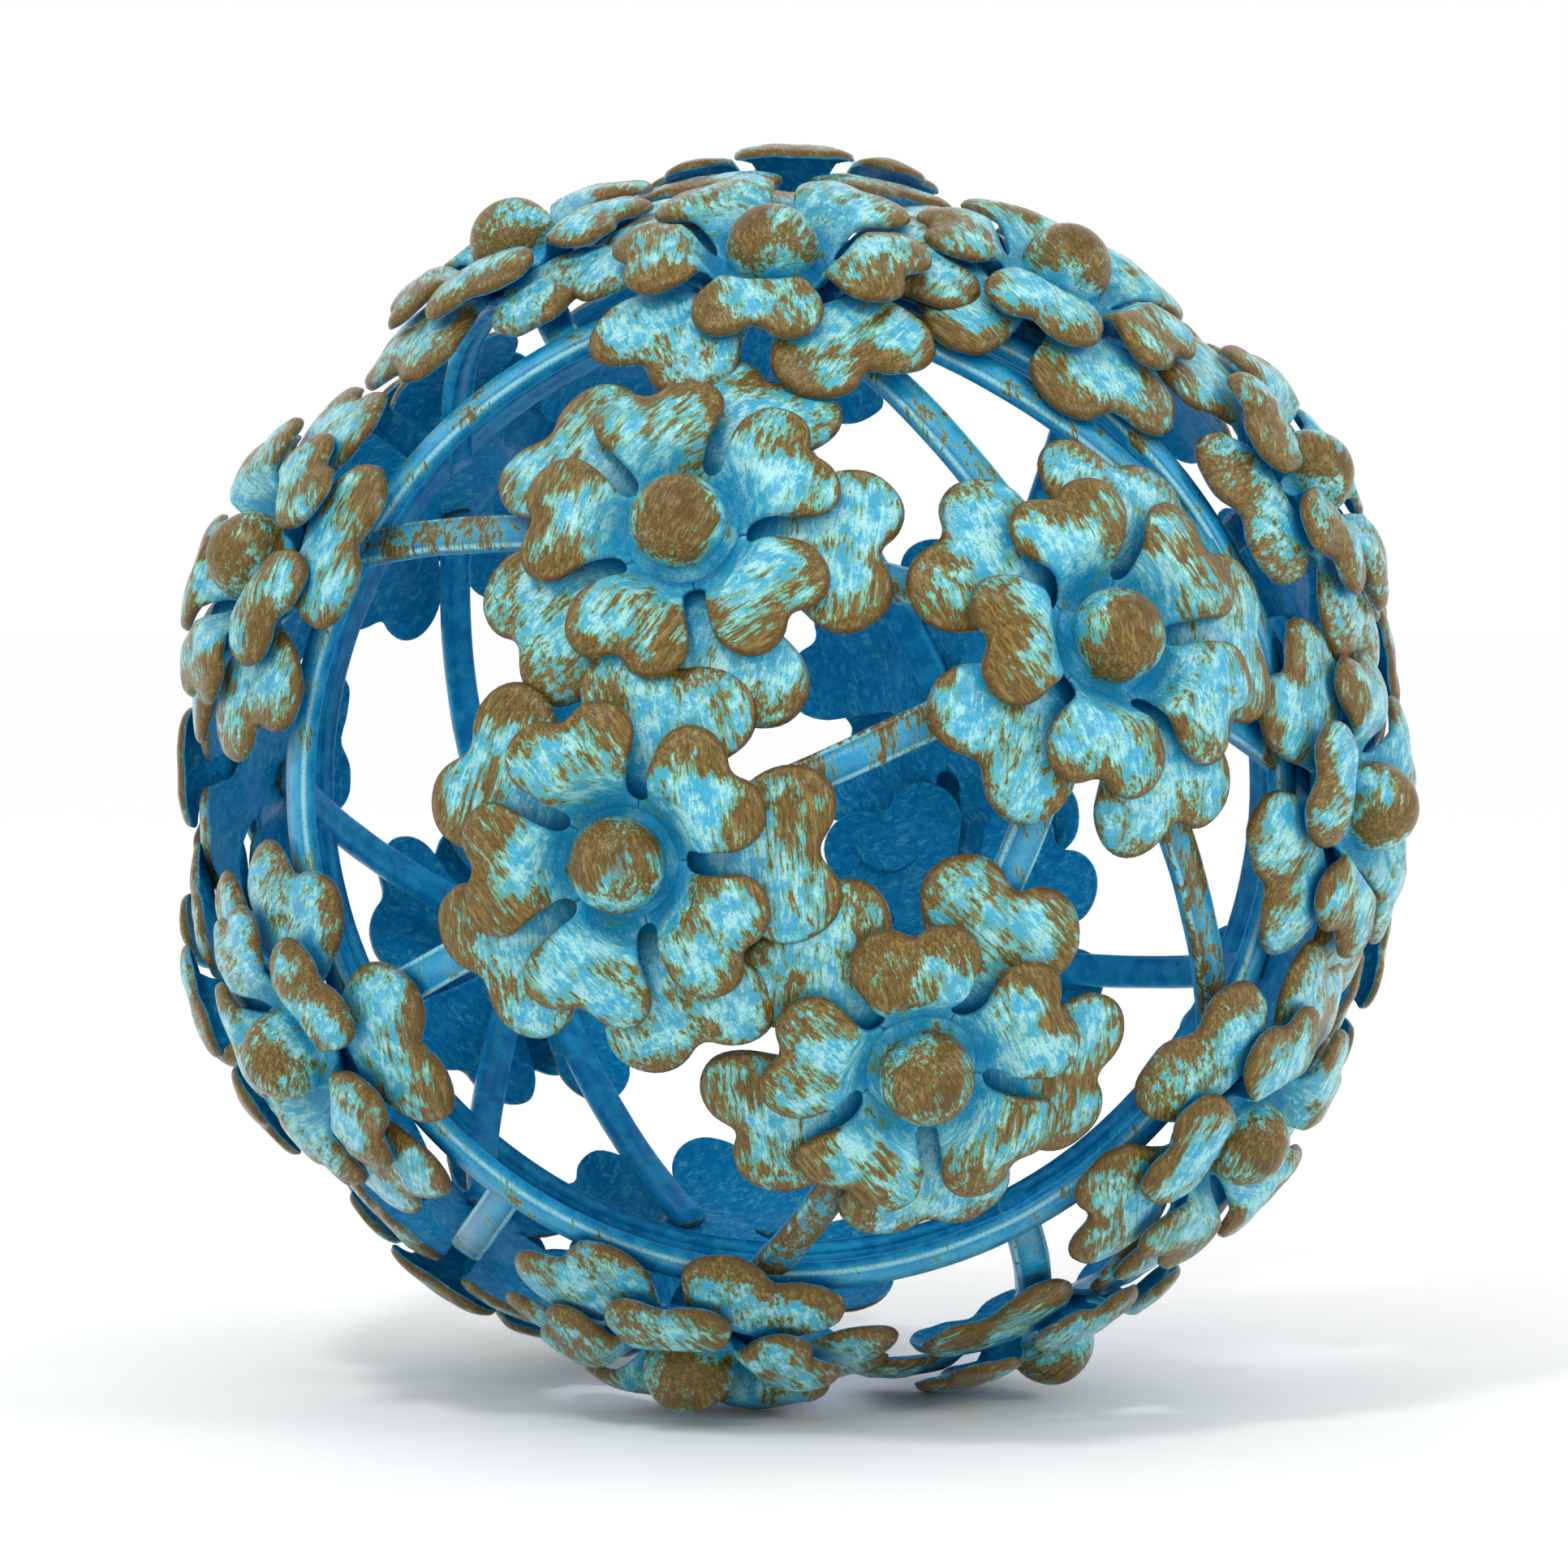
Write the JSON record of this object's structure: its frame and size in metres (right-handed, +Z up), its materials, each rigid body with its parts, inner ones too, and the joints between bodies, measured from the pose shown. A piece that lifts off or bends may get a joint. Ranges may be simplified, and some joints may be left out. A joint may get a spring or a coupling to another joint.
{
  "type": "openwork flower ball",
  "caption": "Openwork decorative ball of stamped metal flowers, each two layers of heart-shaped petals with a round bead, welded over a cage of curved flat strips.",
  "frame": {"origin": "on the ground the ball stands on, straight below the ball's centre", "axes": "+Z up, -Y towards the side that is seen first, +X to that viewer's right"},
  "size_m": [0.1428, 0.1451, 0.1441],
  "materials": {
    "strip_paint": "semi-gloss blue paint, dry-brushed with lighter blue and worn along the edges",
    "large_petal_paint": "semi-gloss turquoise paint, streaked with pale blue and with gold-brown on the petal lobes",
    "small_petal_paint": "semi-gloss turquoise paint, streaked with pale blue and with gold-brown on the petal lobes",
    "bead_paint": "semi-gloss turquoise paint with a gold-brown top"
  },
  "bodies": {
    "root": {"front_hoop": "strip_paint", "back_hoop": "strip_paint", "front_struts": "strip_paint", "side_struts": "strip_paint", "back_struts": "strip_paint", "beads": "bead_paint", "outer_blossom_front_1": "large_petal_paint", "inner_blossom_front_1": "small_petal_paint", "outer_blossom_front_2": "large_petal_paint", "inner_blossom_front_2": "small_petal_paint", "outer_blossom_front_3": "large_petal_paint", "inner_blossom_front_3": "small_petal_paint", "outer_blossom_front_4": "large_petal_paint", "inner_blossom_front_4": "small_petal_paint", "outer_blossom_shoulder_1": "large_petal_paint", "inner_blossom_shoulder_1": "small_petal_paint", "outer_blossom_shoulder_2": "large_petal_paint", "inner_blossom_shoulder_2": "small_petal_paint", "outer_blossom_shoulder_3": "large_petal_paint", "inner_blossom_shoulder_3": "small_petal_paint", "outer_blossom_shoulder_4": "large_petal_paint", "inner_blossom_shoulder_4": "small_petal_paint", "outer_blossom_shoulder_5": "large_petal_paint", "inner_blossom_shoulder_5": "small_petal_paint", "outer_blossom_shoulder_6": "large_petal_paint", "inner_blossom_shoulder_6": "small_petal_paint", "outer_blossom_shoulder_7": "large_petal_paint", "inner_blossom_shoulder_7": "small_petal_paint", "outer_blossom_shoulder_8": "large_petal_paint", "inner_blossom_shoulder_8": "small_petal_paint", "outer_blossom_side_1": "large_petal_paint", "inner_blossom_side_1": "small_petal_paint", "outer_blossom_side_2": "large_petal_paint", "inner_blossom_side_2": "small_petal_paint", "outer_blossom_side_3": "large_petal_paint", "inner_blossom_side_3": "small_petal_paint", "outer_blossom_side_4": "large_petal_paint", "inner_blossom_side_4": "small_petal_paint", "outer_blossom_side_5": "large_petal_paint", "inner_blossom_side_5": "small_petal_paint", "outer_blossom_side_6": "large_petal_paint", "inner_blossom_side_6": "small_petal_paint", "outer_blossom_side_7": "large_petal_paint", "inner_blossom_side_7": "small_petal_paint", "outer_blossom_side_8": "large_petal_paint", "inner_blossom_side_8": "small_petal_paint", "outer_blossom_side_9": "large_petal_paint", "inner_blossom_side_9": "small_petal_paint", "outer_blossom_side_10": "large_petal_paint", "inner_blossom_side_10": "small_petal_paint", "outer_blossom_side_11": "large_petal_paint", "inner_blossom_side_11": "small_petal_paint", "outer_blossom_back_1": "large_petal_paint", "inner_blossom_back_1": "small_petal_paint", "outer_blossom_back_2": "large_petal_paint", "inner_blossom_back_2": "small_petal_paint", "outer_blossom_back_3": "large_petal_paint", "inner_blossom_back_3": "small_petal_paint", "outer_blossom_back_4": "large_petal_paint", "inner_blossom_back_4": "small_petal_paint"}
  },
  "joints": []
}
